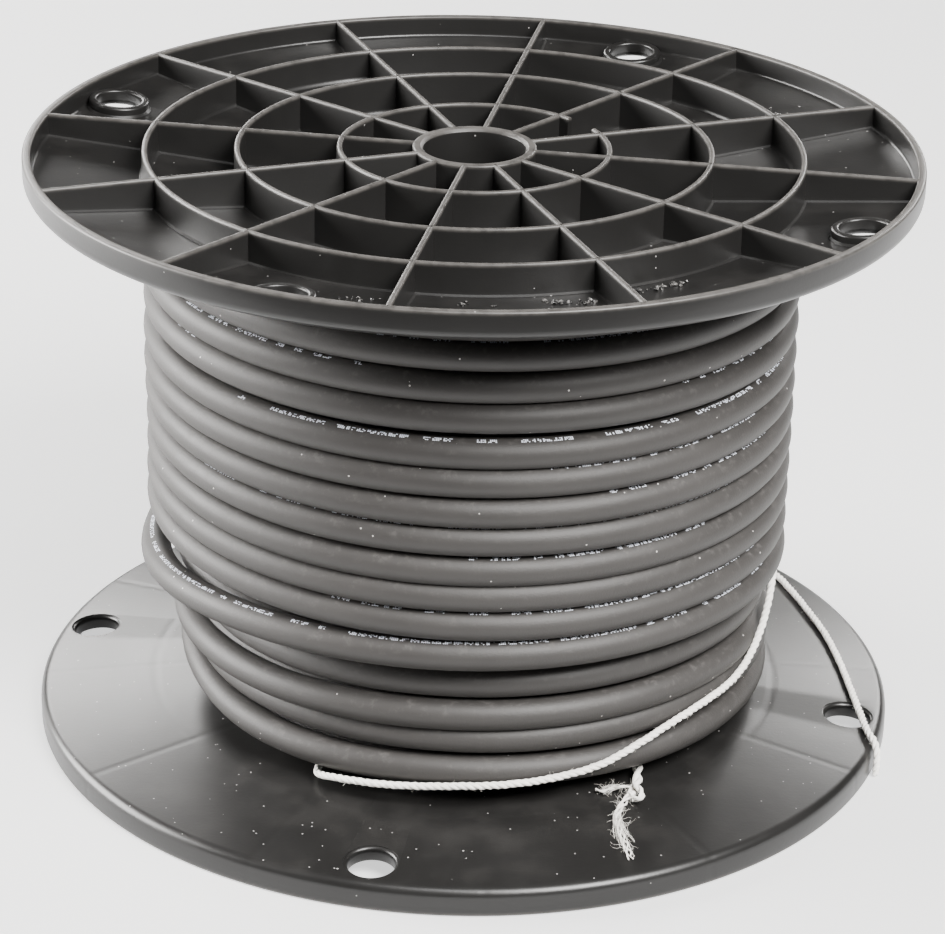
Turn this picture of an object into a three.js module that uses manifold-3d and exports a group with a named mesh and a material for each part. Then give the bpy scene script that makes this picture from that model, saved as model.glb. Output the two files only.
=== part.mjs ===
// Multiconductor cable on a moulded plastic spool, standing on its lower flange.
// Millimetres, +Z up, origin at the centre of the underside, where the spool rests.

import * as THREE from 'three';
import { mergeVertices } from 'three/addons/utils/BufferGeometryUtils.js';
import Module from 'manifold-3d';

const wasm = await Module();
wasm.setup();

// Overall
const spoolHeight = 210.4;
const flangeRadius = 152.4;
const clearance = 0.3;

// Flange moulding: the ribbed face looks outwards, the smooth face inwards
const rimHeight = 9.5;
const rimWall = 3.9;
const rimRound = 3.5;
const plateThickness = 1.8;
const faceSlope = 0.08;
const ribThickness = 1.9;
const spokeCount = 12;
const ringRadii = [45.8, 80.4, 111.5];
const ringStub = 5;
const ribInlay = 1;

// Hub and arbor bore
const boreRadius = 17.45;
const boreMouthRadius = 18.4;
const boreMouthDepth = 1;
const hubRadius = 21.1;

// Round holes near the rim, each with a raised collar on the ribbed side
const holeCount = 4;
const holeInset = 12.9;
const holeCircleRadius = flangeRadius - holeInset;
const holeRadius = 7.95;
const holeLeadIn = 1.2;
const collarRadius = 10.6;
const collarHeight = 3;

// How far each flange is turned about the axis, in degrees
const upperFlangeTurn = 65.4;
const lowerFlangeTurn = 78;

// Drum between the flanges
const drumRadius = 46;
const drumWall = 3;
const seatHeight = 5;
const seatWall = 2.4;

// Cable winding
const cableDiameter = 10.6;
const outerLayerRadius = 107.4;
const outerLayerBase = 71.9;
const outerLayerGap = 3.78;
const lowerLayerRadius = 100.9;
const lowerLayerBase = 26;
const lowerTurns = 4;
const layerStep = 9.2;
const endCrestHeight = 18;

// Crests and valleys of the turns, as shares of the cable's radius
const crestReach = 0.9;
const crestHalfWidth = 0.5;
const valleyReach = 0.35;
const endValleyDepth = 0.4;

// Twine that ties the cable's end
const twineDiameter = 2.7;
const tailDiameter = 3.4;

// Facets
const flangeFacets = 48;
const windingFacets = 36;
const drumFacets = 36;
const holeFacets = 16;
const cordFacets = 8;
const twineSteps = 70;
const tailSteps = 10;

// How far a cutting tool runs past the face that it cuts
const overrun = 1;

const degrees = Math.PI / 180;

// Distance of the flange's inner face from its outer plane, at a radius
const edgeRadius = flangeRadius - rimRound;
function innerFace(radius) {
  return rimHeight + faceSlope * (edgeRadius - Math.min(radius, edgeRadius));
}

function pocketFloor(radius) {
  return innerFace(radius) - plateThickness;
}

// Solids and meshes

function solidOf(geometry) {
  const plain = geometry.clone();
  plain.deleteAttribute('normal');
  plain.deleteAttribute('uv');
  const merged = mergeVertices(plain, 1e-4);
  const mesh = new wasm.Mesh({
    numProp: 3,
    vertProperties: new Float32Array(merged.attributes.position.array),
    triVerts: new Uint32Array(merged.index.array),
  });
  mesh.merge();
  return new wasm.Manifold(mesh);
}

function geometryOf(solid) {
  const mesh = solid.getMesh();
  const geometry = new THREE.BufferGeometry();
  geometry.setAttribute('position', new THREE.BufferAttribute(mesh.vertProperties, 3));
  geometry.setIndex(new THREE.BufferAttribute(mesh.triVerts, 1));
  geometry.computeVertexNormals();
  return geometry;
}

// Turn a closed outline of [radius, height] points, counter-clockwise, about the Z axis
function turned(outline, facets) {
  const points = [...outline, outline[0]].map(([radius, height]) => new THREE.Vector2(radius, height));
  const geometry = new THREE.LatheGeometry(points, facets);
  geometry.rotateX(Math.PI / 2);
  return geometry;
}

// Points on an arc in the [radius, height] plane, angles in degrees
function arc(centreRadius, centreHeight, radius, from, to, steps) {
  const points = [];
  for (let step = 0; step <= steps; step += 1) {
    const angle = (from + ((to - from) * step) / steps) * degrees;
    points.push([centreRadius + radius * Math.cos(angle), centreHeight + radius * Math.sin(angle)]);
  }
  return points;
}

// Flange, modelled as the lower one: ribs down on z = 0, smooth face up

function flangeShell() {
  const rimInside = flangeRadius - rimWall;
  const seatRadius = drumRadius - drumWall - clearance;
  const seatInside = seatRadius - seatWall;
  const outline = [
    [boreMouthRadius, 0],
    [hubRadius, 0],
    [hubRadius, pocketFloor(hubRadius)],
    [rimInside, pocketFloor(rimInside)],
    [rimInside, 0],
    [flangeRadius, 0],
    ...arc(edgeRadius, rimHeight - rimRound, rimRound, 0, 90, 3),
    [seatRadius, innerFace(seatRadius)],
    [seatRadius, innerFace(seatRadius) + seatHeight],
    [seatInside, innerFace(seatRadius) + seatHeight],
    [seatInside, innerFace(seatInside)],
    [boreRadius, innerFace(boreRadius)],
    [boreRadius, boreMouthDepth],
  ];
  return solidOf(turned(outline, flangeFacets));
}

function ring(middleRadius) {
  const inside = middleRadius - ribThickness / 2;
  const outside = middleRadius + ribThickness / 2;
  const inPlate = plateThickness / 2;
  const outline = [
    [inside, 0],
    [outside, 0],
    [outside, pocketFloor(outside) + inPlate],
    [inside, pocketFloor(inside) + inPlate],
  ];
  return solidOf(turned(outline, flangeFacets));
}

// A radial rib along +X whose upper edge runs inside the plate
function spoke(from, to) {
  const inPlate = plateThickness / 2;
  const side = new THREE.Shape([
    new THREE.Vector2(from, 0),
    new THREE.Vector2(to, 0),
    new THREE.Vector2(to, pocketFloor(to) + inPlate),
    new THREE.Vector2(from, pocketFloor(from) + inPlate),
  ]);
  const geometry = new THREE.ExtrudeGeometry(side, { depth: ribThickness, bevelEnabled: false });
  geometry.translate(0, 0, -ribThickness / 2);
  geometry.rotateX(Math.PI / 2);
  return solidOf(geometry);
}

// The bay of the innermost ring that is left open between two spokes, with short stubs beside them
function openBay() {
  const middle = ringRadii[0];
  const halfAngle = Math.PI / spokeCount - (ribThickness / 2 + ringStub) / middle;
  const inside = middle - ribThickness;
  const outside = middle + ribThickness;
  const outline = new THREE.Shape();
  outline.absarc(0, 0, outside, -halfAngle, halfAngle, false);
  outline.absarc(0, 0, inside, halfAngle, -halfAngle, true);
  outline.closePath();
  const height = pocketFloor(outside) + overrun;
  const geometry = new THREE.ExtrudeGeometry(outline, {
    depth: height,
    bevelEnabled: false,
    curveSegments: 6,
  });
  geometry.translate(0, 0, -overrun);
  return solidOf(geometry);
}

function collar() {
  const top = pocketFloor(holeCircleRadius) + plateThickness / 2;
  const bottom = pocketFloor(holeCircleRadius) - collarHeight;
  const outline = [
    [0, bottom],
    [collarRadius, bottom],
    [collarRadius, top],
    [0, top],
  ];
  return solidOf(turned(outline, holeFacets));
}

function holeCutter() {
  const top = innerFace(holeCircleRadius);
  const outline = [
    [0, 0],
    [holeRadius, 0],
    ...arc(holeRadius + holeLeadIn, top - holeLeadIn, holeLeadIn, 180, 90, 2),
    [holeRadius + holeLeadIn, top + overrun],
    [0, top + overrun],
  ];
  return solidOf(turned(outline, holeFacets));
}

// The moulding with its first hole on +X; spokes stand half a bay either side of it
function flangeSolid() {
  const bay = 360 / spokeCount;
  const rimInside = flangeRadius - rimWall;
  let flange = flangeShell();
  ringRadii.forEach((radius, index) => {
    let wall = ring(radius);
    if (index === 0) {
      wall = wall.subtract(openBay().rotate([0, 0, bay]));
    }
    flange = flange.add(wall);
  });
  for (let index = 0; index < spokeCount; index += 1) {
    const rib = spoke(hubRadius - ribInlay, rimInside + ribInlay);
    flange = flange.add(rib.rotate([0, 0, bay * (index + 0.5)]));
  }
  const top = innerFace(0);
  const rimDisc = solidOf(turned([[0, 0], [flangeRadius, 0], [flangeRadius, top], [0, top]], flangeFacets));
  for (let index = 0; index < holeCount; index += 1) {
    const turn = (360 / holeCount) * index;
    const boss = collar().translate([holeCircleRadius, 0, 0]).rotate([0, 0, turn]);
    flange = flange.add(boss.intersect(rimDisc));
  }
  for (let index = 0; index < holeCount; index += 1) {
    const turn = (360 / holeCount) * index;
    flange = flange.subtract(holeCutter().translate([holeCircleRadius, 0, 0]).rotate([0, 0, turn]));
  }
  return flange;
}

// Drum, bored through and seated round the flanges' seat rings

function drumGeometry() {
  const bottom = innerFace(drumRadius - drumWall) + clearance;
  const top = spoolHeight - bottom;
  return turned([
    [drumRadius - drumWall, bottom],
    [drumRadius, bottom],
    [drumRadius, top],
    [drumRadius - drumWall, top],
  ], drumFacets);
}

// Winding: one turned solid, with a crest for each turn on its outside and for each layer on its ends

function turnCrests(middleRadius, firstHeight, count, pitch) {
  const reach = cableDiameter / 2;
  const points = [];
  for (let turn = 0; turn < count; turn += 1) {
    const height = firstHeight + turn * pitch;
    points.push([middleRadius + reach * crestReach, height - reach * crestHalfWidth]);
    points.push([middleRadius + reach * crestReach, height + reach * crestHalfWidth]);
    if (turn < count - 1) {
      points.push([middleRadius + reach * valleyReach, height + pitch / 2]);
    }
  }
  return points;
}

// The outer layer's last turn stands a small gap below the upper flange
const outerLayerTop = spoolHeight - innerFace(outerLayerRadius) - outerLayerGap;
const outerRise = outerLayerTop - cableDiameter / 2 - outerLayerBase;
const outerTurns = Math.round(outerRise / cableDiameter) + 1;
const outerPitch = outerRise / (outerTurns - 1);

// The crest of each layer's last turn, where that layer comes nearest to a flange
function bottomCrest(radius) {
  return Math.max(endCrestHeight, innerFace(radius) + clearance);
}

function topCrest(radius) {
  return Math.min(outerLayerTop, spoolHeight - innerFace(radius) - clearance);
}

function endCrests(from, to, crest, sign) {
  const points = [];
  const count = Math.round(Math.abs(to - from) / layerStep);
  const step = (to - from) / count;
  for (let layer = 0; layer < count; layer += 1) {
    const middle = from + step * (layer + 0.5);
    points.push([middle, crest(middle - Math.abs(step) / 2)]);
    if (layer < count - 1) {
      const valley = from + step * (layer + 1);
      points.push([valley, crest(valley - Math.abs(step)) + sign * (cableDiameter / 2) * endValleyDepth]);
    }
  }
  return points;
}

function windingGeometry() {
  const reach = cableDiameter / 2;
  const inside = drumRadius + clearance;
  const lowerEnd = lowerLayerBase - reach;
  return turned([
    [inside, bottomCrest(inside) + reach],
    ...endCrests(inside, lowerLayerRadius - reach, bottomCrest, 1),
    [lowerLayerRadius - reach * 0.6, lowerEnd + reach * 0.2],
    [lowerLayerRadius + reach * 0.4, lowerEnd + reach * 0.1],
    ...turnCrests(lowerLayerRadius, lowerLayerBase, lowerTurns, cableDiameter),
    [lowerLayerRadius + reach * valleyReach, outerLayerBase - reach * 1.3],
    [outerLayerRadius + reach * valleyReach, outerLayerBase - reach * 0.95],
    ...turnCrests(outerLayerRadius, outerLayerBase, outerTurns, outerPitch),
    ...endCrests(outerLayerRadius + reach * crestHalfWidth, inside, topCrest, -1),
    [inside, topCrest(inside) - reach],
  ], windingFacets);
}

// Twine: [radius, angle in degrees, height] along its run, from under the lowest turn,
// over the lower turns, round the back, along the flange's face and over its rim
const twineRoute = [
  [92, -121.5, 15.9],
  [97.5, -120, 16],
  [103, -118, 17.2],
  [106.2, -113, 19.5],
  [106.9, -106, 20.6],
  [107.1, -99, 21.6],
  [107.5, -91, 22.8],
  [107.7, -83, 23.3],
  [107.9, -74.5, 24.3],
  [108, -65, 26.4],
  [108, -56.8, 30.8],
  [108, -50, 34.2],
  [108, -41.5, 36.4],
  [108, -33, 37.2],
  [108.3, -26.5, 39.4],
  [108.8, -21.5, 43.6],
  [109.4, -17.5, 49.4],
  [109.8, -14.5, 55.4],
  [109.8, -11.5, 60.6],
  [109.2, -6, 63.2],
  [108.2, 6, 63.6],
  [108, 20, 63.6],
  [108, 34, 63.6],
  [108.4, 48, 62.6],
  [109.6, 58, 57],
  [112, 65, 45],
  [115, 69, 31],
  [118.6, 70, 19.5],
  [123.5, 67.5, 14.2],
  [131, 61, 12.6],
  [138.5, 53, 12],
  [143.3, 44, 11.6],
  [143.8, 35, 11.6],
  [140.8, 28.5, 11.8],
  [138.2, 22, 12],
  [137, 13, 12.1],
  [137.2, 3.5, 12.1],
  [139.8, -5.5, 11.9],
  [143.8, -11.8, 11.6],
  [148.2, -16.6, 11.6],
  [151.6, -18.6, 11],
  [153.9, -19.8, 8.6],
  [154.4, -20.4, 4.6],
  [154.4, -20.6, 0.8],
];

// Frayed end of the twine, [x, y, height], lying on the flange's face
const tailRoute = [
  [59.6, -73, 15.9],
  [59.9, -82.7, 15.3],
  [58.6, -92, 14.7],
  [55.3, -99.5, 14.3],
  [52.3, -107.4, 13.9],
  [52.4, -114.9, 13.3],
  [53.5, -121.7, 12.8],
  [55.5, -131.7, 12],
];

function cordGeometry(points, diameter, steps) {
  const curve = new THREE.CatmullRomCurve3(points, false, 'centripetal');
  const section = new THREE.Shape();
  for (let corner = 0; corner < cordFacets; corner += 1) {
    const angle = (2 * Math.PI * corner) / cordFacets;
    const x = (diameter / 2) * Math.cos(angle);
    const y = (diameter / 2) * Math.sin(angle);
    if (corner === 0) {
      section.moveTo(x, y);
    } else {
      section.lineTo(x, y);
    }
  }
  section.closePath();
  return new THREE.ExtrudeGeometry(section, { steps, bevelEnabled: false, extrudePath: curve });
}

function twineGeometry() {
  const points = twineRoute.map(([radius, angle, height]) => new THREE.Vector3(
    radius * Math.cos(angle * degrees),
    radius * Math.sin(angle * degrees),
    height,
  ));
  return cordGeometry(points, twineDiameter, twineSteps);
}

function tailGeometry() {
  const points = tailRoute.map(([x, y, height]) => new THREE.Vector3(x, y, height));
  return cordGeometry(points, tailDiameter, tailSteps);
}

// Materials and scene graph

function finish(color, roughness) {
  return new THREE.MeshStandardMaterial({ color, roughness, metalness: 0 });
}

function piece(name, geometry, material) {
  const mesh = new THREE.Mesh(geometry, material);
  mesh.name = name;
  return mesh;
}

const spool = new THREE.Group();

const flangeGeometry = geometryOf(flangeSolid());

const lowerFlange = piece('flange_lower', flangeGeometry, finish(0x2b2a2a, 0.42));
lowerFlange.rotation.z = lowerFlangeTurn * degrees;
spool.add(lowerFlange);

const upperFlange = piece('flange_upper', flangeGeometry.clone(), finish(0x2b2a2a, 0.42));
const upperPlace = new THREE.Group();
upperPlace.position.z = spoolHeight;
upperPlace.rotation.z = upperFlangeTurn * degrees;
upperFlange.rotation.x = Math.PI;
upperPlace.add(upperFlange);
spool.add(upperPlace);

spool.add(piece('drum_tube', drumGeometry(), finish(0x302f2e, 0.6)));
spool.add(piece('cable_winding', windingGeometry(), finish(0x3a3836, 0.5)));
spool.add(piece('tie_twine', twineGeometry(), finish(0xf2efe8, 0.9)));
spool.add(piece('twine_tail', tailGeometry(), finish(0xf2efe8, 0.9)));

export default spool;
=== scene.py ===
import math
import random

import bmesh
import bpy
from mathutils import Matrix, Vector


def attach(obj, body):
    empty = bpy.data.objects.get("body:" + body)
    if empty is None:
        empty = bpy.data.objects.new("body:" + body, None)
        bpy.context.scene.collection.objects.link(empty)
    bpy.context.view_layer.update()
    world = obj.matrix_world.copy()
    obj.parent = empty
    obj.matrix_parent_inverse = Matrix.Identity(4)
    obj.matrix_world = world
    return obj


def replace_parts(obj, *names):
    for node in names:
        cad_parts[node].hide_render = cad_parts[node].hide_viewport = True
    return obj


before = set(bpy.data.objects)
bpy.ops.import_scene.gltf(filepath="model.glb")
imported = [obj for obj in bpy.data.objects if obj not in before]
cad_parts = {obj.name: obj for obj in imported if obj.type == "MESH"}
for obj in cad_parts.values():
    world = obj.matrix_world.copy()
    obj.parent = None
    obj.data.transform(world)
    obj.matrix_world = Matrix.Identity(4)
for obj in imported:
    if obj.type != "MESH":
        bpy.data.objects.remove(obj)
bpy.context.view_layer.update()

MM = 0.001

# Sizes of the spool, in millimetres
SPOOL_HEIGHT = 210.4
FLANGE_RADIUS = 152.4
RIM_HEIGHT = 9.5
RIM_WALL = 2.9
RIM_ROUND = 3.5
PLATE = 1.8
FACE_SLOPE = 0.08
RIB = 1.9
SPOKES = 12
RINGS = (45.8, 80.4, 111.5)
RING_STUB = 5
BORE_RADIUS = 17.45
BORE_MOUTH = 18.4
HUB_RADIUS = 21.1
HOLE_CIRCLE = 139.5
HOLE_RADIUS = 7.95
HOLE_LEAD_IN = 1.2
COLLAR_RADIUS = 10.6
COLLAR_HEIGHT = 3.4
UPPER_TURN = 65.4
LOWER_TURN = 78
DRUM_RADIUS = 46
SEAT_INSET = 3.3
SEAT_HEIGHT = 5
SEAT_WIDTH = 2.4
CABLE_RADIUS = 5.3


def inner_face(radius):
    """Distance of a flange's smooth face from its ribs' edges."""
    edge = FLANGE_RADIUS - RIM_ROUND
    return RIM_HEIGHT + FACE_SLOPE * (edge - min(radius, edge))


def pocket_floor(radius):
    return inner_face(radius) - PLATE


def about_z(degrees):
    return Matrix.Rotation(math.radians(degrees), 4, "Z")


def add_object(name, data):
    made = bpy.data.objects.new(name, data)
    bpy.context.scene.collection.objects.link(made)
    return made


# Camera, at the photograph's height and angle, in metres and radians
CAMERA_PLACE = (0, -1.09797, 0.58752)
CAMERA_YAW = 0.0014
CAMERA_PITCH = -0.4248
CAMERA_ROLL = 0.0209
CAMERA_LENS = 129.97


def place_camera():
    yaw, pitch, roll = CAMERA_YAW, CAMERA_PITCH, CAMERA_ROLL
    ahead = Vector((math.sin(yaw) * math.cos(pitch), math.cos(yaw) * math.cos(pitch), math.sin(pitch)))
    level = Vector((math.cos(yaw), -math.sin(yaw), 0))
    above = level.cross(ahead)
    right = level * math.cos(roll) + above * math.sin(roll)
    up = above * math.cos(roll) - level * math.sin(roll)
    turn = Matrix((right, up, -ahead)).transposed().to_4x4()
    lens = bpy.data.cameras.new("camera")
    lens.sensor_fit = "HORIZONTAL"
    lens.sensor_width = 36
    lens.lens = CAMERA_LENS
    lens.clip_end = 50
    camera = add_object("camera", lens)
    camera.matrix_world = Matrix.Translation(CAMERA_PLACE) @ turn
    bpy.context.scene.camera = camera


place_camera()


# Materials

class Field:
    """A value that changes over a surface. Arithmetic on it adds Math nodes."""

    def __init__(self, finish, socket):
        self.finish = finish
        self.socket = socket

    def __add__(self, other):
        return self.finish.maths("ADD", self, other)

    def __radd__(self, other):
        return self.finish.maths("ADD", other, self)

    def __sub__(self, other):
        return self.finish.maths("SUBTRACT", self, other)

    def __mul__(self, other):
        return self.finish.maths("MULTIPLY", self, other)

    def __rmul__(self, other):
        return self.finish.maths("MULTIPLY", other, self)

    def __truediv__(self, other):
        return self.finish.maths("DIVIDE", self, other)

    def __gt__(self, other):
        return self.finish.maths("GREATER_THAN", self, other)

    def __lt__(self, other):
        return self.finish.maths("LESS_THAN", self, other)


class Finish:
    """A material under construction, with a Principled shader."""

    def __init__(self, name):
        self.material = bpy.data.materials.new(name)
        self.material.use_nodes = True
        self.tree = self.material.node_tree
        self.shader = self.tree.nodes["Principled BSDF"]

    def node(self, kind, settings=None, inputs=None):
        made = self.tree.nodes.new(kind)
        for name, value in (settings or {}).items():
            setattr(made, name, value)
        for name, value in (inputs or {}).items():
            self.feed(made.inputs[name], value)
        return made

    def feed(self, socket, value):
        if isinstance(value, Field):
            self.tree.links.new(value.socket, socket)
        elif isinstance(value, bpy.types.NodeSocket):
            self.tree.links.new(value, socket)
        else:
            socket.default_value = value

    def set(self, name, value):
        self.feed(self.shader.inputs[name], value)

    def maths(self, operation, first, second=0.0):
        made = self.node("ShaderNodeMath", {"operation": operation}, {0: first, 1: second})
        return Field(self, made.outputs[0])

    def place(self):
        return self.node("ShaderNodeTexCoord").outputs["Object"]

    def surface_map(self):
        return self.node("ShaderNodeTexCoord").outputs["UV"]

    def axes(self, vector):
        parts = self.node("ShaderNodeSeparateXYZ", None, {"Vector": vector})
        return [Field(self, parts.outputs[axis]) for axis in range(3)]

    def vector(self, x, y):
        return self.node("ShaderNodeCombineXYZ", None, {0: x, 1: y}).outputs[0]

    def scaled(self, vector, scale):
        return self.node("ShaderNodeMapping", None, {"Vector": vector, "Scale": scale}).outputs[0]

    def facing(self):
        return self.axes(self.node("ShaderNodeNewGeometry").outputs["Normal"])

    def noise(self, vector, scale, detail=3.0, roughness=0.55):
        inputs = {"Vector": vector, "Scale": scale, "Detail": detail, "Roughness": roughness}
        return Field(self, self.node("ShaderNodeTexNoise", None, inputs).outputs[0])

    def cells(self, vector, scale):
        made = self.node("ShaderNodeTexVoronoi", {"feature": "F1"}, {"Vector": vector, "Scale": scale})
        return Field(self, made.outputs["Distance"]), made.outputs["Color"]

    def chance(self, vector):
        made = self.node("ShaderNodeTexWhiteNoise", {"noise_dimensions": "2D"}, {"Vector": vector})
        return Field(self, made.outputs["Value"])

    def ease(self, value, low, high, start=0.0, end=1.0):
        inputs = {"Value": value, "From Min": low, "From Max": high, "To Min": start, "To Max": end}
        made = self.node("ShaderNodeMapRange", {"interpolation_type": "SMOOTHSTEP"}, inputs)
        return Field(self, made.outputs[0])

    def blend(self, share, under, over):
        made = self.node("ShaderNodeMix", {"data_type": "RGBA"}, {0: share})
        self.feed(made.inputs[6], under)
        self.feed(made.inputs[7], over)
        return made.outputs[2]

    def bump(self, height, distance):
        made = self.node("ShaderNodeBump", None, {"Height": height, "Distance": distance, "Strength": 1.0})
        self.set("Normal", made.outputs[0])


def specks(finish, place, scale, size, share):
    """Small dots on a share of the cells of a pattern."""
    distance, colour = finish.cells(place, scale)
    luck = finish.axes(colour)[0]
    return (distance < size) * (luck < share)


# Colours
PLASTIC_DARK = (0.006, 0.0058, 0.0056, 1)
PLASTIC_LIGHT = (0.01, 0.0097, 0.0094, 1)
FILM = (0.2, 0.19, 0.18, 1)
SCUFF_AND_HIGHLIGHT = (0.13, 0.121, 0.112, 1)
NICKED = (0.002, 0.002, 0.002, 1)
FLANGE_DUST = (0.42, 0.41, 0.4, 1)
JACKET_DARK = (0.021, 0.0195, 0.0184, 1)
JACKET_LIGHT = (0.032, 0.0298, 0.0282, 1)
JACKET_POWDER = (0.3, 0.28, 0.27, 1)
JACKET_DUST = (0.5, 0.48, 0.46, 1)
JACKET_DOTS = (0.78, 0.82, 0.92, 1)
COTTON_CLEAN = (0.86, 0.84, 0.8, 1)
COTTON_SOILED = (0.74, 0.71, 0.65, 1)
COTTON_SHADE = (0.42, 0.39, 0.34, 1)
DRUM_DARK = (0.02, 0.019, 0.018, 1)
DRUM_LIGHT = (0.035, 0.033, 0.031, 1)
CRUMB_SHINE = (0.012, 0.012, 0.012, 1)
CRUMB_TORN = (0.14, 0.135, 0.13, 1)
PAPER_DARK = (0.4, 0.4, 0.4, 1)
PAPER_LIGHT = (0.43, 0.43, 0.43, 1)
TABLE = (0.05, 0.05, 0.05, 1)
BLACK = (0, 0, 0, 1)
WHITE = (1, 1, 1, 1)

# Heights between which a flange's edges are scuffed and carry a painted highlight, and places where the
# floor turns pale, in metres
UPPER_EDGE = (0.2088, 0.2103)
LOWER_EDGE = (0.0016, 0.0003)
PALE_FLOOR = (-0.5, -0.22)

# Sink marks: their half width, and the height that they all lie below, in metres
SINK_REACH = 0.0026
SINK_CEILING = 0.03

# Nick in the upper rim: its middle, its direction and half its length and width, in metres
NICK_MIDDLE = (-0.12422, -0.08618)
NICK_AHEAD = (0.5357, -0.8444)
NICK_HALF_LENGTH = 0.0046
NICK_HALF_WIDTH = 0.00035
NICK_FLOOR = 0.2


def sink_marks(finish, place):
    """Faint hollows on the smooth face of the lower flange, over the ribs beneath it."""
    across, depth, height = finish.axes(place)
    radius = finish.maths("SQRT", across * across + depth * depth)
    bay = 2 * math.pi / SPOKES
    start = math.radians(LOWER_TURN) + bay / 2
    turn = finish.maths("ARCTAN2", depth, across) - start + 4 * math.pi
    share = finish.maths("MODULO", turn / bay + 0.5, 1.0) - 0.5
    off_spoke = finish.maths("ABSOLUTE", share) * radius * bay
    marks = finish.ease(off_spoke, 0.0, SINK_REACH, 1.0, 0.0)
    for ring in RINGS[1:]:
        off_ring = finish.maths("ABSOLUTE", radius - ring * MM)
        marks = marks + finish.ease(off_ring, 0.0, SINK_REACH, 1.0, 0.0)
    return marks * (height < SINK_CEILING)


def rim_nick(finish, place):
    """A thin dark cut along the top of the upper rim, at the front left."""
    across, depth, height = finish.axes(place)
    from_middle_x = across - NICK_MIDDLE[0]
    from_middle_y = depth - NICK_MIDDLE[1]
    along = from_middle_x * NICK_AHEAD[0] + from_middle_y * NICK_AHEAD[1]
    aside = from_middle_x * -NICK_AHEAD[1] + from_middle_y * NICK_AHEAD[0]
    on_line = finish.maths("ABSOLUTE", aside) < NICK_HALF_WIDTH
    in_reach = finish.maths("ABSOLUTE", along) < NICK_HALF_LENGTH
    return on_line * in_reach * (height > NICK_FLOOR)


def moulded_plastic(name):
    """Satin black moulded plastic, dusty, and lighter on the edges that it stands on: real scuffs there
    plus a painted highlight on the rib tops.
    """
    finish = Finish(name)
    place = finish.place()
    height = finish.axes(place)[2]
    cloudy = finish.noise(place, 28, 4)
    fine = finish.noise(place, 900, 3)
    streaks = finish.noise(finish.scaled(place, (40, 160, 300)), 3, 4)
    # Rib edges near the top and bottom heights: real scuffing plus a painted highlight that lightens the
    # rib tops
    lit_edge_band = finish.ease(height, *UPPER_EDGE) + finish.ease(height, *LOWER_EDGE)
    scuffs_and_highlight = lit_edge_band * finish.ease(finish.noise(place, 260, 4), 0.25, 0.62, 0.45, 1.0)
    upward = finish.ease(finish.facing()[2], 0.5, 0.9)
    dust = (specks(finish, place, 260, 0.075, 0.45) + specks(finish, place, 90, 0.035, 0.5)) * upward
    dust = finish.maths("MAXIMUM", dust, specks(finish, place, 210, 0.06, 0.12))
    film = finish.ease(finish.noise(place, 55, 5), 0.42, 0.75) * upward
    base = finish.blend(cloudy, PLASTIC_DARK, PLASTIC_LIGHT)
    base = finish.blend(film * 0.03, base, FILM)
    # Painted highlight and scuffs on the rib edges, lighter than the plastic
    base = finish.blend(scuffs_and_highlight * 0.36, base, SCUFF_AND_HIGHLIGHT)
    base = finish.blend(rim_nick(finish, place), base, NICKED)
    finish.set("Base Color", finish.blend(dust * 0.5, base, FLANGE_DUST))
    finish.set("Roughness", 0.29 + 0.08 * cloudy + 0.12 * scuffs_and_highlight + 0.3 * dust)
    finish.set("Specular IOR Level", 0.38)
    finish.bump(0.35 * fine + 0.25 * streaks - 0.7 * sink_marks(finish, place), 0.00006)
    return finish.material


# Dots on the jacket: lengths in metres along the cable, places as a share of the way round it
DOT_LAP = 0.675
DOT_PITCH = 0.00058
DOT_ROWS_ROUND = 68
DOT_ROWS = 3
DOT_EDGE = 0.277
DOT_WANDER = 0.05
DOT_AREA = 0.2
DOT_CHANCE = 0.62
CLUSTER_COLUMNS = 6
CLUSTER_CHANCE = 0.74
STRETCH_COLUMNS = 150
STRETCH_CHANCE = 0.56


def printed_dots(finish, along, around):
    """Broken rows of small dots at the upper edge of the turns, where the groove hides half of them."""
    lap = along / DOT_LAP
    wander = finish.noise(finish.vector(lap * 0.9, 2.5), 1, 1) - 0.5
    rise = (around - DOT_EDGE - DOT_WANDER * wander) * DOT_ROWS_ROUND
    column = along / DOT_PITCH
    row_number = finish.maths("FLOOR", rise)
    column_number = finish.maths("FLOOR", column)
    luck = finish.chance(finish.vector(column_number, row_number))
    filled = finish.maths("MODULO", column_number, float(CLUSTER_COLUMNS)) < CLUSTER_COLUMNS - 1.5
    cluster = finish.maths("FLOOR", column_number / CLUSTER_COLUMNS)
    stretch = finish.maths("FLOOR", column_number / STRETCH_COLUMNS)
    shown = finish.chance(finish.vector(stretch, 7.0)) < STRETCH_CHANCE
    shown = shown * (finish.chance(finish.vector(cluster, 4.0)) < CLUSTER_CHANCE)
    down = finish.maths("FRACT", rise) - 0.5
    over = finish.maths("FRACT", column) - 0.5
    dot = (down * down + over * over) < DOT_AREA
    band = (rise > 0.0) * (rise < float(DOT_ROWS))
    return (luck < DOT_CHANCE) * filled * shown * dot * band


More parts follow.
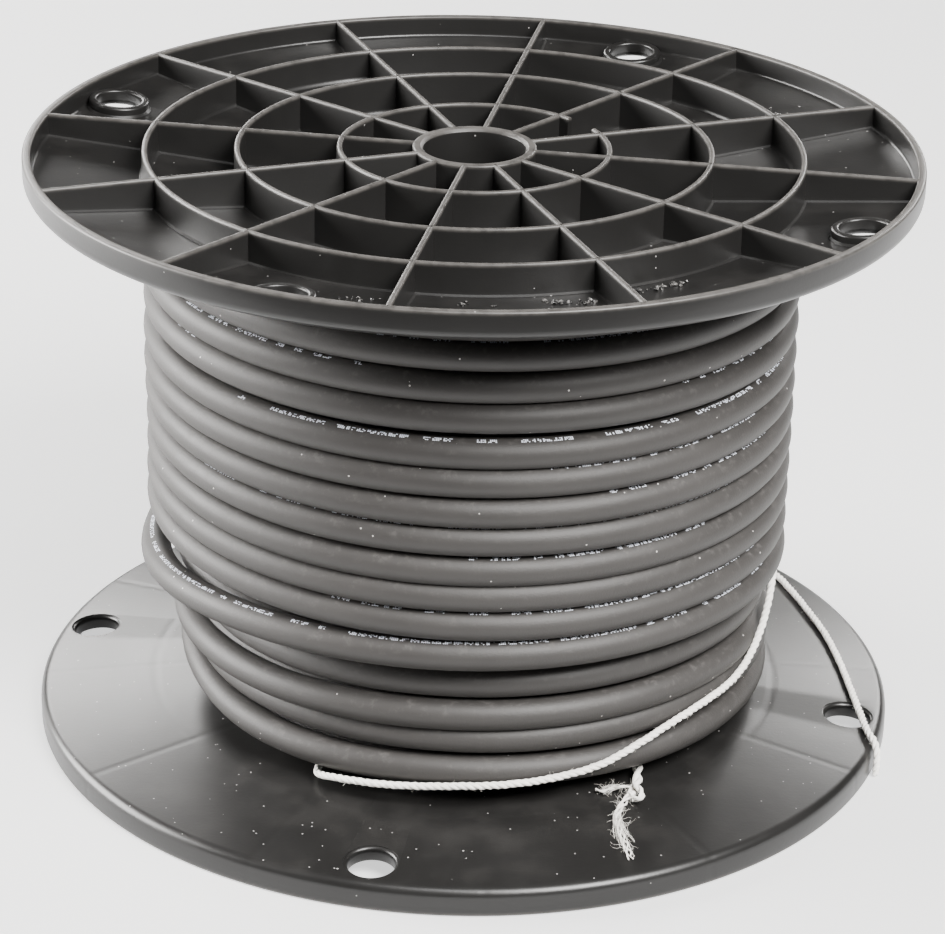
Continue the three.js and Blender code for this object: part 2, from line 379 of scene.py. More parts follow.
def cable_jacket(name, printed):
    """Soft black cable jacket, with a printed line of dots where the map runs along the cable."""
    finish = Finish(name)
    along, around, _ = finish.axes(finish.surface_map())
    place = finish.place()
    cloudy = finish.noise(place, 35, 4)
    grain = finish.noise(place, 1300, 3)
    ripple = finish.noise(finish.vector(along * 60, around * 3), 1, 4)
    upward = finish.ease(finish.facing()[2], -0.1, 0.9)
    powder = finish.ease(finish.noise(place, 320, 5, 0.7), 0.5, 0.72) * upward
    dust = specks(finish, place, 260, 0.08, 0.16)
    base = finish.blend(cloudy, JACKET_DARK, JACKET_LIGHT)
    base = finish.blend(powder * 0.1, base, JACKET_POWDER)
    base = finish.blend(dust * 0.8, base, JACKET_DUST)
    if printed:
        base = finish.blend(printed_dots(finish, along, around) * 0.95, base, JACKET_DOTS)
    finish.set("Base Color", base)
    finish.set("Roughness", 0.5 + 0.12 * cloudy + 0.14 * powder)
    finish.set("Specular IOR Level", 0.4)
    finish.bump(0.7 * grain + 0.5 * ripple, 0.00011)
    return finish.material


def cotton(name):
    """Bleached cotton yarn."""
    finish = Finish(name)
    place = finish.place()
    strands = finish.noise(place, 2600, 4, 0.7)
    soiled = finish.noise(place, 90, 3)
    base = finish.blend(soiled, COTTON_CLEAN, COTTON_SOILED)
    between = finish.ease(strands, 0.2, 0.5, 0.3, 0.0)
    finish.set("Base Color", finish.blend(between, base, COTTON_SHADE))
    finish.set("Roughness", 0.86)
    finish.set("Sheen Weight", 0.3)
    finish.bump(strands, 0.0002)
    return finish.material


def hidden_plastic(name):
    """Dull dark plastic of the drum, which the cable hides."""
    finish = Finish(name)
    place = finish.place()
    cloudy = finish.noise(place, 60, 4)
    finish.set("Base Color", finish.blend(cloudy, DRUM_DARK, DRUM_LIGHT))
    finish.set("Roughness", 0.5 + 0.2 * cloudy)
    finish.bump(finish.noise(place, 700, 3), 0.00008)
    return finish.material


def plastic_crumbs(name):
    """Shiny black crumbs with paler torn sides."""
    finish = Finish(name)
    torn = finish.ease(finish.noise(finish.place(), 900, 2), 0.4, 0.7)
    finish.set("Base Color", finish.blend(torn, CRUMB_SHINE, CRUMB_TORN))
    finish.set("Roughness", 0.2 + 0.3 * torn)
    return finish.material


def floor_paper(name):
    """Pale matt paper under the spool, which glows, with a dark table in front of it."""
    finish = Finish(name)
    place = finish.place()
    cloudy = finish.noise(place, 3, 3)
    pale = finish.ease(finish.axes(place)[1], *PALE_FLOOR)
    paper = finish.blend(cloudy, PAPER_DARK, PAPER_LIGHT)
    finish.set("Base Color", finish.blend(pale, TABLE, paper))
    finish.set("Roughness", 0.9)
    finish.set("Emission Color", finish.blend(pale, BLACK, WHITE))
    finish.set("Emission Strength", 1.1)
    return finish.material


PLASTIC = moulded_plastic("moulded_black_plastic")
JACKET = cable_jacket("cable_jacket", printed=True)
PLAIN_JACKET = cable_jacket("cable_jacket_plain", printed=False)
COTTON = cotton("cotton_twine")
DRUM_PLASTIC = hidden_plastic("drum_plastic")
CRUMBS = plastic_crumbs("plastic_crumbs")


# Mesh helpers

def as_mesh(name, shape):
    mesh = bpy.data.meshes.new(name)
    shape.to_mesh(mesh)
    shape.free()
    return mesh


def evaluated_mesh(thing):
    bpy.context.view_layer.update()
    return bpy.data.meshes.new_from_object(thing.evaluated_get(bpy.context.evaluated_depsgraph_get()))


def face_outward(shape):
    bmesh.ops.recalc_face_normals(shape, faces=shape.faces[:])
    return shape


def moved(shape, matrix):
    bmesh.ops.transform(shape, matrix=matrix, verts=shape.verts[:])
    return shape


def add_piece(name, shape, material, crease=35):
    """Turn a bmesh in metres into a piece of the spool."""
    return add_mesh(name, as_mesh(name, shape), material, crease)


def add_mesh(name, mesh, material, crease=35):
    mesh.shade_smooth()
    mesh.set_sharp_from_angle(angle=math.radians(crease))
    mesh.materials.clear()
    mesh.materials.append(material)
    piece = add_object(name, mesh)
    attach(piece, "root")
    return piece


def rounded(corners, steps=4):
    """An outline of (across, height, corner radius) with its corners rounded."""
    outline = []
    count = len(corners)
    for index, (across, height, radius) in enumerate(corners):
        corner = Vector((across, height))
        if radius == 0:
            outline.append(corner)
            continue
        before = (Vector(corners[index - 1][:2]) - corner).normalized()
        after = (Vector(corners[(index + 1) % count][:2]) - corner).normalized()
        half = before.angle(after) / 2
        middle = corner + (before + after).normalized() * radius / math.sin(half)
        first = corner + before * radius / math.tan(half) - middle
        last = corner + after * radius / math.tan(half) - middle
        sweep = first.angle_signed(last)
        for step in range(steps + 1):
            turn = -sweep * step / steps
            outline.append(middle + Matrix.Rotation(turn, 2) @ first)
    return outline


def turned(outline, steps, start=0.0, sweep=360.0):
    """Turn a closed outline of (radius, height) in millimetres about the Z axis."""
    shape = bmesh.new()
    aim = about_z(start)
    ring = [shape.verts.new(aim @ Vector((across * MM, 0, height * MM))) for across, height in outline]
    edges = [shape.edges.new((ring[index - 1], ring[index])) for index in range(len(ring))]
    whole = sweep == 360.0
    made = bmesh.ops.spin(
        shape, geom=ring + edges, cent=(0, 0, 0), axis=(0, 0, 1),
        angle=math.radians(sweep), steps=steps, use_merge=whole,
    )
    if not whole:
        shape.faces.new(ring)
        last = [part for part in made["geom_last"] if isinstance(part, bmesh.types.BMEdge)]
        bmesh.ops.contextual_create(shape, geom=last)
    return face_outward(shape)


def joined(shapes):
    whole = bmesh.new()
    for shape in shapes:
        mesh = as_mesh("part", shape)
        whole.from_mesh(mesh)
        bpy.data.meshes.remove(mesh)
    return whole


def cut(shape, cutter):
    """Take the cutter's solids out of the shape."""
    blank = add_object("blank", as_mesh("blank", shape))
    tool = add_object("cutter", as_mesh("cutter", cutter))
    take = blank.modifiers.new("take", "BOOLEAN")
    take.operation = "DIFFERENCE"
    take.solver = "EXACT"
    take.object = tool
    mesh = evaluated_mesh(blank)
    result = bmesh.new()
    result.from_mesh(mesh)
    bpy.data.meshes.remove(mesh)
    for used in (blank, tool):
        bpy.data.objects.remove(used)
    return result


def smooth_run(points, step):
    """Points about a step apart on a smooth curve through the given ones."""
    spline = [points[0] * 2 - points[1], *points, points[-1] * 2 - points[-2]]
    run = []
    for index in range(1, len(spline) - 2):
        before, start, end, after = spline[index - 1:index + 3]
        pieces = max(1, round((end - start).length / step))
        for count in range(pieces):
            share = count / pieces
            run.append(
                0.5 * (2 * start + (end - before) * share
                       + (2 * before - 5 * start + 4 * end - after) * share ** 2
                       + (3 * start - before - 3 * end + after) * share ** 3)
            )
    run.append(points[-1])
    return run


def length_of(points):
    return sum((second - first).length for first, second in zip(points, points[1:]))


def ahead_at(run, index):
    """The direction of a run at one of its points."""
    return (run[min(index + 1, len(run) - 1)] - run[max(index - 1, 0)]).normalized()


def tubes(name, runs, resolution):
    """A mesh of round tubes along runs of (point, radius), with closed ends."""
    curve = bpy.data.curves.new(name, "CURVE")
    curve.dimensions = "3D"
    curve.bevel_depth = 1.0
    curve.bevel_resolution = resolution
    curve.use_fill_caps = True
    for run in runs:
        spline = curve.splines.new("POLY")
        spline.points.add(len(run) - 1)
        for point, (place, radius) in zip(spline.points, run):
            point.co = (*place, 1)
            point.radius = radius
    holder = add_object(name, curve)
    mesh = evaluated_mesh(holder)
    bpy.data.objects.remove(holder)
    bpy.data.curves.remove(curve)
    return mesh


# Twine: radius, angle and height in millimetres along its run
TWINE_ROUTE = (
    (92, -121.5, 15.9), (97.5, -120, 16), (103, -118, 17.2), (106.2, -113, 19.5),
    (106.9, -106, 20.6), (107.1, -99, 21.6), (107.5, -91, 22.8), (107.7, -83, 23.3),
    (107.9, -74.5, 24.3), (108, -65, 26.4), (108, -56.8, 30.8), (108, -50, 34.2),
    (108, -41.5, 36.4), (108, -33, 37.2), (108.3, -26.5, 39.4), (108.8, -21.5, 43.6),
    (109.4, -17.5, 49.4), (109.8, -14.5, 55.4), (109.8, -11.5, 60.6), (109.2, -6, 63.2),
    (108.2, 6, 63.6), (108, 20, 63.6), (108, 34, 63.6), (108.4, 48, 62.6), (109.6, 58, 57),
    (112, 65, 45), (115, 69, 31), (118.6, 70, 19.5), (123.5, 67.5, 14.2), (131, 61, 12.6),
    (138.5, 53, 12), (143.3, 44, 11.6), (143.8, 35, 11.6), (140.8, 28.5, 11.8), (138.2, 22, 12),
    (137, 13, 12.1), (137.2, 3.5, 12.1), (139.8, -5.5, 11.9), (143.8, -11.8, 11.6),
    (148.2, -16.6, 11.6), (151.6, -18.6, 11), (153.9, -19.8, 8.6), (154.4, -20.4, 4.6),
    (154.4, -20.6, 0.8),
)
TWINE_STEP = 1.2

# Frayed tail of the twine: across, depth and height in millimetres
TAIL_ROUTE = (
    (59.6, -73, 15.9), (59.9, -82.7, 15.3), (58.6, -92, 14.7), (55.3, -99.5, 14.3),
    (52.3, -107.4, 13.9), (52.4, -114.9, 13.3), (53.5, -121.7, 12.8), (55.5, -131.7, 12),
)
TAIL_LOOP = (
    (57.6, -92.5, 16.4), (59.4, -95.5, 16.8), (60.6, -98.6, 16.2), (59.6, -100.6, 15.4),
    (57.4, -99.6, 15),
)
TAIL_SIDE_YARN = (
    (57.5, -93, 15.6), (54.2, -93.4, 16), (50.8, -92.8, 15), (47.6, -94.4, 14.6),
    (45.2, -93.6, 14.8),
)
TAIL_STEP = 1.0
FIBRE_RADIUS = 0.035


def polar(radius, angle, height):
    turn = math.radians(angle)
    return Vector((radius * math.cos(turn), radius * math.sin(turn), height)) * MM


def frames_along(run):
    """A pair of cross directions at each point of a run, turning as little as they can."""
    pairs = []
    side = None
    for index in range(len(run)):
        ahead = ahead_at(run, index)
        if side is None:
            side = ahead.orthogonal()
        side = (side - ahead * side.dot(ahead)).normalized()
        pairs.append((side, ahead.cross(side)))
    return pairs


def plies(run, count, offset, radius, pitch, rng):
    """Yarns twisted round a run."""
    pairs = frames_along(run)
    strands = []
    for ply in range(count):
        phase = 2 * math.pi * ply / count
        travelled = 0.0
        strand = []
        for index, place in enumerate(run):
            if index:
                travelled += (place - run[index - 1]).length
            turn = phase + 2 * math.pi * travelled / pitch
            side, up = pairs[index]
            swell = 1 + 0.07 * math.sin(travelled / 0.011 + ply * 2.1) + rng.uniform(-0.04, 0.04)
            strand.append((place + (side * math.cos(turn) + up * math.sin(turn)) * offset, radius * swell))
        strands.append(strand)
    return strands


def fibres(run, count, reach, thickness, rng, curl=0.35):
    """Loose fibres that stand off a run."""
    pairs = frames_along(run)
    hairs = []
    for _ in range(count):
        index = rng.randrange(2, len(run) - 2)
        side, up = pairs[index]
        ahead = side.cross(up)
        turn = rng.uniform(0, 2 * math.pi)
        out = side * math.cos(turn) + up * math.sin(turn)
        lean = ahead * rng.uniform(-1, 1)
        place = run[index] + out * reach * 0.2
        length = reach * rng.uniform(0.4, 1.0)
        aim = (out * 0.6 + lean).normalized()
        hair = []
        for step in range(5):
            hair.append((place.copy(), thickness * (1 - 0.15 * step)))
            bend = Vector((rng.uniform(-1, 1), rng.uniform(-1, 1), rng.uniform(-1, 1)))
            aim = (aim + bend * curl).normalized()
            place = place + aim * length / 4
        hairs.append(hair)
    return hairs


def add_yarns(name, strands, resolution):
    return add_mesh(name, tubes(name, strands, resolution), COTTON, 60)


def make_twine():
    rng = random.Random(11)
    run = smooth_run([polar(*stop) for stop in TWINE_ROUTE], TWINE_STEP * MM)
    strands = plies(run, 3, 0.62 * MM, 0.73 * MM, 8 * MM, rng)
    twine = add_yarns("twine_plies", strands, 2)
    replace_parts(twine, "tie_twine")
    fuzz = fibres(run, 520, 2.4 * MM, FIBRE_RADIUS * MM, rng)
    hairs = add_yarns("twine_fuzz", fuzz, 0)
    length_of(run)


def unravel(run, first, count, radius, spread, rng):
    """Thin yarns that leave a run at a share of its length and spread as they go on."""
    pairs = frames_along(run)
    start = round(first * (len(run) - 1))
    yarns = []
    for _ in range(count):
        turn = rng.uniform(0, 2 * math.pi)
        swing = rng.uniform(0, 2 * math.pi)
        reach = rng.uniform(0.55, 1.0)
        stop = start + max(4, round((len(run) - 1 - start) * reach))
        lean = rng.uniform(0.2, 1.0) * spread
        yarn = []
        for index in range(start, stop):
            share = (index - start) / max(1, len(run) - 1 - start)
            side, up = pairs[index]
            aim = side * math.cos(turn) + up * math.sin(turn)
            wave = side * math.sin(swing + share * 9) + up * math.cos(swing + share * 7)
            place = run[index] + aim * (0.7 * MM + lean * share ** 1.3) + wave * 0.5 * MM * share
            floor = inner_face(math.hypot(place.x, place.y) / MM) * MM + radius
            place.z = max(place.z, floor)
            yarn.append((place, radius * (1 - 0.5 * share)))
        yarns.append(yarn)
    return yarns


def straight_run(route, step):
    """A smooth run along a route of (across, depth, height) in millimetres."""
    return smooth_run([Vector(stop) * MM for stop in route], step * MM)


def make_tail():
    rng = random.Random(5)
    run = straight_run(TAIL_ROUTE, TAIL_STEP)
    knot = round(0.42 * len(run))
    strands = plies(run[:knot], 2, 0.85 * MM, 0.95 * MM, 16 * MM, rng)
    beyond = run[-1] + (run[-1] - run[-2]) * 1.5
    lower = plies(run[knot - 6:] + [beyond], 3, 0.85 * MM, 0.42 * MM, 14 * MM, rng)
    for strand in lower:
        for index, (place, radius) in enumerate(strand):
            strand[index] = (place, radius * (1 - 0.45 * index / len(strand)))
    strands += lower
    tail = add_yarns("tail_plies", strands, 2)
    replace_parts(tail, "twine_tail")
    loop = straight_run(TAIL_LOOP, 0.6)
    side = straight_run(TAIL_SIDE_YARN, 0.8)
    frayed = plies(loop, 2, 0.5 * MM, 0.66 * MM, 9 * MM, rng)
    frayed += plies(side, 2, 0.25 * MM, 0.28 * MM, 7 * MM, rng)
    frayed += unravel(run, 0.5, 26, 0.09 * MM, 4.2 * MM, rng)
    frayed += unravel(side, 0.3, 14, 0.06 * MM, 2.6 * MM, rng)
    frayed += fibres(run[knot - 4:], 90, 6 * MM, FIBRE_RADIUS * MM, rng, 0.7)
    frayed += fibres(side, 30, 4 * MM, FIBRE_RADIUS * MM, rng, 0.7)
    hairs = add_yarns("tail_fray", frayed, 1)
    length_of(run)


make_twine()
make_tail()


# Flanges, shaped as the lower one with its ribs down on z = 0
FLANGE_STEPS = 192
HOLE_STEPS = 64
ARC_STEPS = 4
HOLE_EDGE = 0.7
COLLAR_FILLET = 0.8
CUTTER_REACH = 3
# How far a rib runs into the hub and the rim, and the height above which it follows the pocket's slope
RIB_OVERLAP = 1
RIB_FOOT_START = 3
# A rib's outline: (share of its half width, height), then (flare, distance below the pocket's floor)
RIB_EDGE = ((0.35, 0.0), (0.72, 0.14), (0.93, 0.45), (1, 0.9))
RIB_FOOT = ((0.08, 1.5), (0.3, 0.6), (1.0, 0), (1.0, -0.9))


def flange_shell():
    rim_inside = FLANGE_RADIUS - RIM_WALL
    seat = DRUM_RADIUS - SEAT_INSET
    seat_inside = seat - SEAT_WIDTH
    seat_top = inner_face(seat) + SEAT_HEIGHT
    return turned(rounded([
        (BORE_MOUTH, 0, 0.4),
        (HUB_RADIUS, 0, 0.7),
        (HUB_RADIUS, pocket_floor(HUB_RADIUS), 1.4),
        (rim_inside, pocket_floor(rim_inside), 1.2),
        (rim_inside, 0, 0.7),
        (FLANGE_RADIUS, 0, 0.8),
        (FLANGE_RADIUS, RIM_HEIGHT, RIM_ROUND),
        (seat, inner_face(seat), 0.5),
        (seat, seat_top, 0.5),
        (seat_inside, seat_top, 0.5),
        (seat_inside, inner_face(seat_inside), 0.5),
        (BORE_RADIUS, inner_face(BORE_RADIUS), 0.6),
        (BORE_RADIUS, 1, 0.3),
    ], 5), FLANGE_STEPS)


def rib_section(floor):
    """Half widths and heights of a rib that is rounded on its edge and flared at its foot."""
    half = RIB / 2
    right = [(share * half, height) for share, height in RIB_EDGE]
    right += [(half + flare, floor - below) for flare, below in RIB_FOOT]
    left = [(-across, height) for across, height in reversed(right)]
    return right + left


def ring_wall(radius, start=0.0, sweep=360.0):
    section = []
    for across, height in rib_section(pocket_floor(radius)):
        if height >= RIB_FOOT_START:
            height = height + pocket_floor(radius + across) - pocket_floor(radius)
        section.append((radius + across, height))
    return turned(section, round(FLANGE_STEPS * sweep / 360), start, sweep)


def spoke(turn):
    shape = bmesh.new()
    inside = HUB_RADIUS - RIB_OVERLAP
    outside = FLANGE_RADIUS - RIM_WALL + RIB_OVERLAP
    outline = rib_section(pocket_floor(inside))
    section = shape.faces.new([shape.verts.new((inside, across, height)) for across, height in outline])
    far = bmesh.ops.extrude_face_region(shape, geom=[section], use_keep_orig=True)["geom"]
    drop = pocket_floor(outside) - pocket_floor(inside)
    for corner in far:
        if isinstance(corner, bmesh.types.BMVert):
            corner.co.x = outside
            if corner.co.z > RIB_FOOT_START:
                corner.co.z += drop
    return moved(face_outward(shape), about_z(turn) @ Matrix.Scale(MM, 4))


def hole_place(turn):
    tilt = Matrix.Rotation(math.atan(FACE_SLOPE), 4, "Y")
    lift = Matrix.Translation((HOLE_CIRCLE * MM, 0, inner_face(HOLE_CIRCLE) * MM))
    return about_z(turn) @ lift @ tilt


def turned_at_hole(outline, turn):
    """Turn an outline that reaches the axis about a hole's own axis."""
    shape = turned(outline, HOLE_STEPS)
    bmesh.ops.remove_doubles(shape, verts=shape.verts[:], dist=1e-7)
    return moved(face_outward(shape), hole_place(turn))


def hole_cutter(turn):
    """The hole's space, wider at both ends, so that it leaves a round edge there."""
    tip = -PLATE - COLLAR_HEIGHT
    wide = HOLE_RADIUS + HOLE_EDGE
    outline = [(0.0, tip - CUTTER_REACH), (wide, tip - CUTTER_REACH), (wide, tip - 0.02)]
    for step in range(1, ARC_STEPS + 1):
        angle = math.radians(90 * step / ARC_STEPS)
        outline.append((
            HOLE_RADIUS + HOLE_EDGE * (1 - math.sin(angle)),
            tip + HOLE_EDGE * (1 - math.cos(angle)),
        ))
    for step in range(ARC_STEPS + 1):
        angle = math.radians(90 * step / ARC_STEPS)
        outline.append((
            HOLE_RADIUS + HOLE_LEAD_IN * (1 - math.cos(angle)),
            -HOLE_LEAD_IN * (1 - math.sin(angle)) + 0.02,
        ))
    outline += [(HOLE_RADIUS + HOLE_LEAD_IN, 4), (0.0, 4)]
    return turned_at_hole(outline, turn)


def collar(turn):
    """The raised ring round a hole, still solid, with a fillet at its foot."""
    top = -PLATE / 2
    tip = -PLATE - COLLAR_HEIGHT
    foot = COLLAR_RADIUS + COLLAR_FILLET
    return turned_at_hole(rounded([
        (0, tip, 0), (COLLAR_RADIUS, tip, 0.8), (COLLAR_RADIUS, -PLATE - COLLAR_FILLET, 0),
        (foot, -PLATE, 0), (foot, top, 0), (0, top, 0),
    ]), turn)


def at_holes(make):
    return joined([make(turn) for turn in (0, 90, 180, 270)])


def flange_moulding():
    bay = 360 / SPOKES
    shell = cut(flange_shell(), at_holes(hole_cutter))
    collars = cut(at_holes(collar), at_holes(hole_cutter))
    stub = math.degrees(RING_STUB / RINGS[0])
    ribs = [ring_wall(RINGS[0], bay * 1.5 - stub, 360 - bay + 2 * stub)]
    ribs += [ring_wall(radius) for radius in RINGS[1:]]
    ribs += [spoke(bay * (index + 0.5)) for index in range(SPOKES)]
    return joined([shell, collars, *ribs])


def make_flanges():
    lower = flange_moulding()
    upper = lower.copy()
    lift = Matrix.Translation((0, 0, SPOOL_HEIGHT * MM))
    over = Matrix.Rotation(math.pi, 4, "X")
    moved(lower, about_z(LOWER_TURN))
    moved(upper, lift @ about_z(UPPER_TURN) @ over)
    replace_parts(add_piece("moulded_flange_lower", lower, PLASTIC), "flange_lower")
    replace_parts(add_piece("moulded_flange_upper", upper, PLASTIC), "flange_upper")


make_flanges()


# Cable: turns counted from the front, where a whole number is; they climb clockwise

def through(table, at):
    """A smooth value between (place, value) rows."""
    rows = [table[0], *table, table[-1]]
    for index in range(1, len(rows) - 2):
        start, end = rows[index], rows[index + 1]
        if at <= end[0] or index == len(rows) - 3:
            span = end[0] - start[0]
            share = min(max((at - start[0]) / span, 0.0), 1.0)
            before, after = rows[index - 1], rows[index + 2]
            lean_in = (end[1] - before[1]) / max(end[0] - before[0], 1e-9) * span
            lean_out = (after[1] - start[1]) / max(after[0] - start[0], 1e-9) * span
            square, cube = share ** 2, share ** 3
            return (
                start[1] * (2 * cube - 3 * square + 1) + end[1] * (3 * square - 2 * cube)
                + lean_in * (cube - 2 * square + share) + lean_out * (cube - square)
            )
    return table[-1][1]


OUTER_HEIGHTS = (
    (-0.75, 62), (-0.5, 66), (-0.25, 69.4), (0, 71.9), (0.12, 70.5), (0.25, 63.5), (0.36, 68),
    (0.5, 75.5), (0.75, 80.5), (1, 83.2), (2, 93.4), (3, 103), (4, 113.6), (5, 123.9), (6, 134.3),
    (7, 144.6), (8, 156.7), (9, 167.5), (10, 178.1), (11, 188.6), (11.5, 191.9),
)
OUTER_RADII = (
    (-0.75, 97), (-0.6, 101), (-0.5, 104), (-0.38, 106.6), (-0.25, 107.4), (0, 107.4),
    (0.12, 108.6), (0.25, 110.2), (0.36, 109), (0.5, 107.4), (1, 107.4), (11, 107.4), (11.3, 106),
    (11.5, 101),
)
LOWER_HEIGHTS = (
    (-0.62, 21.5), (-0.5, 22), (-0.25, 23.2), (0, 25.4), (0.08, 24.6), (0.14, 25.6), (0.25, 31),
    (0.37, 34), (0.5, 33.4), (0.75, 34.8), (1, 37.2), (1.15, 36.5), (1.25, 37), (1.5, 42),
    (1.75, 44), (2, 46.4), (2.12, 44.6), (2.25, 42.6), (2.4, 45), (2.5, 49), (2.75, 55), (3, 57.6),
    (3.2, 55), (3.5, 55),
)
LOWER_RADII = (
    (-0.62, 101.5), (-0.5, 102), (-0.25, 103), (0, 100.9), (0.12, 99.4), (0.25, 96.6), (0.5, 100.5),
    (0.75, 102.6), (0.94, 100.2), (1.06, 98), (1.15, 95), (1.25, 92), (1.4, 95), (1.55, 100),
    (1.75, 102.6), (2, 100.9), (2.25, 98.7), (2.5, 100.5), (2.75, 101.6), (2.94, 99.4), (3.06, 97),
    (3.15, 94), (3.25, 91), (3.5, 90),
)
STEPS_PER_TURN = 120
CABLE_SIDES = 24
# How the turns waver, as (millimetres, radians per turn): two waves in radius and one in height
WAVERS = ((0.132, 5.1), (0.084, 13.7), (0.16, 9.3))


def cable_run(heights, radii, rng):
    """A run over all the turns of a table of heights, which wavers a little."""
    first, last = heights[0][0], heights[-1][0]
    steps = round((last - first) * STEPS_PER_TURN)
    starts = [rng.uniform(0, 6.28) for _ in WAVERS]
    run = []
    for step in range(steps + 1):
        turn = first + (last - first) * step / steps
        waves = [reach * math.sin(turn * pace + start) for (reach, pace), start in zip(WAVERS, starts)]
        radius = through(radii, turn) + waves[0] + waves[1]
        height = through(heights, turn) + waves[2]
        run.append(polar(radius, -90 - 360 * turn, height))
    return run


def map_along(mesh, run, sides):
    """A map whose first axis is the way along the cable and whose second is round it."""
    travelled = [0.0]
    for first, second in zip(run, run[1:]):
        travelled.append(travelled[-1] + (second - first).length)
    chart = mesh.uv_layers.new(name="jacket")
    last = len(run) * sides
    for face in mesh.polygons:
        places = [mesh.loops[loop].vertex_index for loop in face.loop_indices]
        wraps = {place % sides for place in places if place < last} == {0, sides - 1}
        for loop, place in zip(face.loop_indices, places):
            if place >= last:
                continue
            side = place % sides
            around = 1.0 if wraps and side == 0 else side / sides
            chart.data[loop].uv = (travelled[place // sides], around)


def sweep(run, radius, sides):
    """Rings of points round a run, each starting on the side that faces the spool's axis."""
    shape = bmesh.new()
    rings = []
    for index, place in enumerate(run):
        ahead = ahead_at(run, index)
        inward = Vector((-place.x, -place.y, 0))
        inward = (inward - ahead * inward.dot(ahead)).normalized()
        down = ahead.cross(inward)
        ring = bmesh.ops.create_circle(shape, cap_ends=False, segments=sides, radius=radius)["verts"]
        turn = Matrix((down, inward, ahead)).transposed().to_4x4()
        bmesh.ops.transform(shape, matrix=Matrix.Translation(place) @ turn, verts=ring)
        rings.append(ring)
    return shape, rings


def make_cable(name, run, material):
    shape, rings = sweep(run, CABLE_RADIUS * MM, CABLE_SIDES)
    for first, second in zip(rings, rings[1:]):
        for index in range(CABLE_SIDES):
            after = (index + 1) % CABLE_SIDES
            shape.faces.new((first[index], first[after], second[after], second[index]))
    shape.faces.new(rings[0])
    shape.faces.new(rings[-1])
    mesh = as_mesh(name, face_outward(shape))
    map_along(mesh, run, CABLE_SIDES)
    return add_mesh(name, mesh, material, 40)


# Body of inner layers, in millimetres: it widens where the outer layer starts
BODY_INSIDE = 46.4
BODY_END_RADII = (47, 92)
BODY_LOWER_RADIUS = 92.4
BODY_UPPER_RADIUS = 97.8
BODY_HEIGHTS = (20, 62, 189)
BODY_GAP = 1.2
CREST_STEPS = 5


def crests(first, last, count, outward):
    """Half-round turns side by side between two points of an outline."""
    first, last, outward = Vector(first), Vector(last), Vector(outward)
    points = []
    step = (last - first) / count
    for turn in range(count):
        middle = first + step * (turn + 0.5)
        for stop in range(CREST_STEPS + 1):
            angle = math.pi * (1 - stop / CREST_STEPS)
            points.append(middle + step * 0.49 * math.cos(angle) + outward * CABLE_RADIUS * math.sin(angle))
    return points


def inner_outline():
    """The layers under the outer turns, whose turns show on the winding's ends."""
    def above(radius):
        return SPOOL_HEIGHT - inner_face(radius) - BODY_GAP - CABLE_RADIUS

    def below(radius):
        return inner_face(radius) + BODY_GAP + CABLE_RADIUS

    inner, outer = BODY_END_RADII
    foot, change, head = BODY_HEIGHTS
    upper_end = BODY_UPPER_RADIUS - 0.3
    return [
        *crests((inner, below(inner)), (outer, below(outer)), 5, (0, -1)),
        *crests((BODY_LOWER_RADIUS, foot), (BODY_LOWER_RADIUS, change), 4, (1, 0)),
        *crests((BODY_UPPER_RADIUS, change), (BODY_UPPER_RADIUS, head), 12, (1, 0)),
        *crests((upper_end, above(upper_end)), (inner, above(inner)), 5, (0, 1)),
        Vector((BODY_INSIDE, above(inner))),
        Vector((BODY_INSIDE, below(inner))),
    ]


def make_winding():
    rng = random.Random(3)
    outer = cable_run(OUTER_HEIGHTS, OUTER_RADII, rng)
    lower = cable_run(LOWER_HEIGHTS, LOWER_RADII, rng)
    outer_layer = make_cable("cable_outer_layer", outer, JACKET)
    make_cable("cable_lower_turns", lower, PLAIN_JACKET)
    inner = add_piece("cable_inner_layers", turned(inner_outline(), 128), PLAIN_JACKET, 50)
    inner.data.uv_layers.new(name="jacket")
    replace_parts(outer_layer, "cable_winding")


make_winding()

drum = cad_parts["drum_tube"]
drum.data.materials.clear()
drum.data.materials.append(DRUM_PLASTIC)


# Crumbs of plastic in the upper flange's bays, as heaps of (angle, radius, spread along the rim, count,
# size), in degrees and millimetres
CRUMB_HEAPS = (
    (-106.5, 125, 4, 8, 0.55), (-91.2, 121.5, 2.5, 9, 0.7), (-86.6, 123, 1.6, 3, 0.65),
    (-77.5, 121.5, 4.5, 18, 0.75), (-72.6, 122.5, 3.5, 14, 0.75), (-60.2, 119.5, 8, 26, 0.85),
    (39, 125, 6, 16, 0.8), (33, 128, 5, 14, 0.7),
)
CRUMB_LIMIT = 147.6


def crumb(shape, place, size, rng):
    made = bmesh.ops.create_icosphere(shape, subdivisions=1, radius=size)["verts"]
    for vert in made:
        vert.co *= rng.uniform(0.55, 1.25)
    angle = rng.uniform(0, 6.28)
    axis = Vector((rng.random(), rng.random(), rng.random() + 0.1))
    turn = Matrix.Rotation(angle, 4, axis)
    stretch = Matrix.Diagonal((rng.uniform(0.7, 1.5), rng.uniform(0.6, 1.1), rng.uniform(0.5, 0.9), 1))
    bmesh.ops.transform(shape, matrix=Matrix.Translation(place) @ turn @ stretch, verts=made)


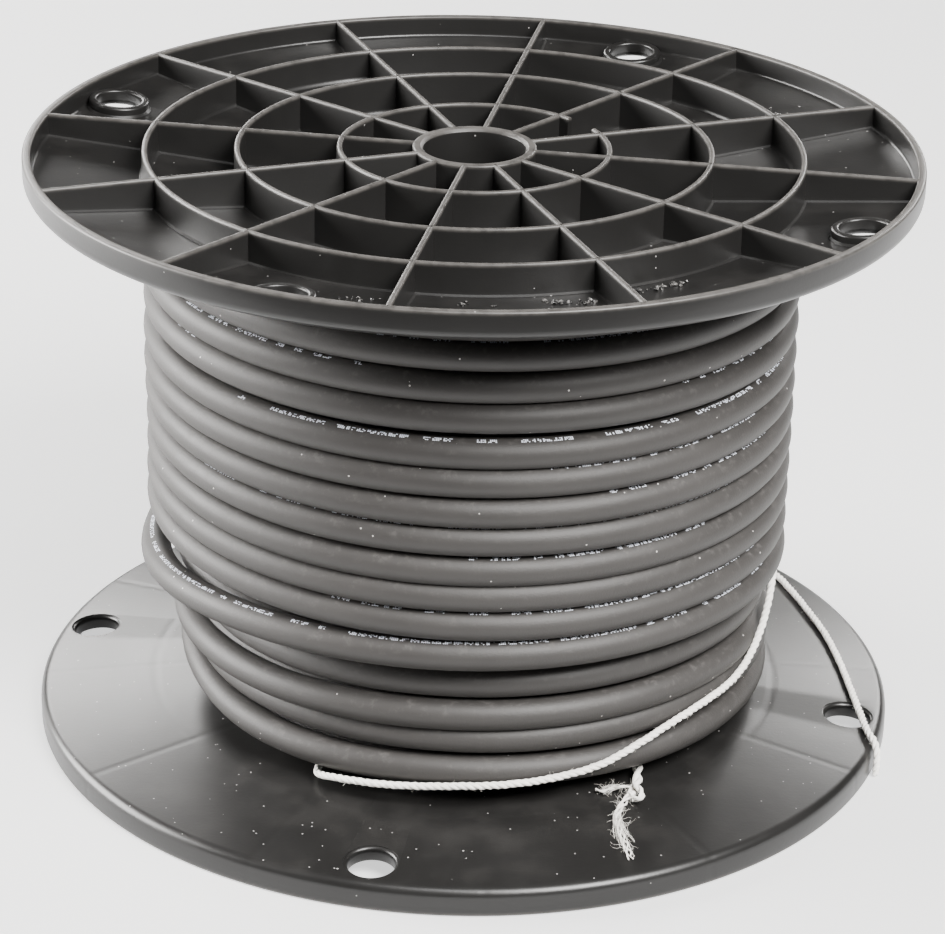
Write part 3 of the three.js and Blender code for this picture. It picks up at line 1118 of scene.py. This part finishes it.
def make_crumbs():
    rng = random.Random(21)
    shape = bmesh.new()
    for angle, radius, spread, count, size in CRUMB_HEAPS:
        for _ in range(count):
            turn = math.radians(angle) + rng.gauss(0, 0.5) * spread / radius
            away = min(radius + rng.gauss(0, 1.0), CRUMB_LIMIT)
            bulk = size * rng.uniform(0.5, 1.3)
            height = SPOOL_HEIGHT - pocket_floor(away) + bulk * 0.45
            place = Vector((away * math.cos(turn), away * math.sin(turn), height)) * MM
            crumb(shape, place, bulk * MM, rng)
    add_piece("plastic_crumbs", face_outward(shape), CRUMBS, 20)


make_crumbs()


# Floor and lights, in metres and watts: name, place, width, height, power and colour
FLOOR_RADIUS = 6
FLOOR_DROP = 0.0002
LIGHT_AIM = Vector((0, 0, 0.1))
WARM = (1, 0.985, 0.965)
WORLD_STRENGTH = 0.03
LIGHTS = (
    ("left_softbox", (-1.5, 0.3, 0.55), 1.2, 0.9, 135, WARM),
    ("back_left_softbox", (-0.8, 1.68, 0.86), 0.8, 0.35, 32, WARM),
    ("back_right_softbox", (0.82, 1.72, 0.84), 0.5, 0.35, 19, WARM),
    ("right_key", (0.75, -0.95, 1.35), 0.8, 0.8, 130, WARM),
    ("overhead_softbox", (0.05, -0.7, 1.6), 0.6, 0.6, 12, WHITE[:3]),
)


def make_floor():
    shape = bmesh.new()
    bmesh.ops.create_circle(shape, cap_ends=True, segments=96, radius=FLOOR_RADIUS)
    bmesh.ops.translate(shape, vec=(0, 0, -FLOOR_DROP), verts=shape.verts[:])
    mesh = as_mesh("floor", shape)
    mesh.materials.append(floor_paper("pale_paper"))
    floor = add_object("floor", mesh)


def soft_light(name, place, width, height, power, colour):
    data = bpy.data.lights.new(name, "AREA")
    data.shape = "RECTANGLE"
    data.size = width
    data.size_y = height
    data.energy = power
    data.color = colour
    lamp = add_object(name, data)
    lamp.location = place
    lamp.rotation_euler = (LIGHT_AIM - Vector(place)).to_track_quat("-Z", "Y").to_euler()


def make_world():
    world = bpy.data.worlds.new("studio")
    world.use_nodes = True
    background = world.node_tree.nodes["Background"].inputs
    background["Color"].default_value = WHITE
    background["Strength"].default_value = WORLD_STRENGTH
    bpy.context.scene.world = world


make_floor()
for light in LIGHTS:
    soft_light(*light)
make_world()
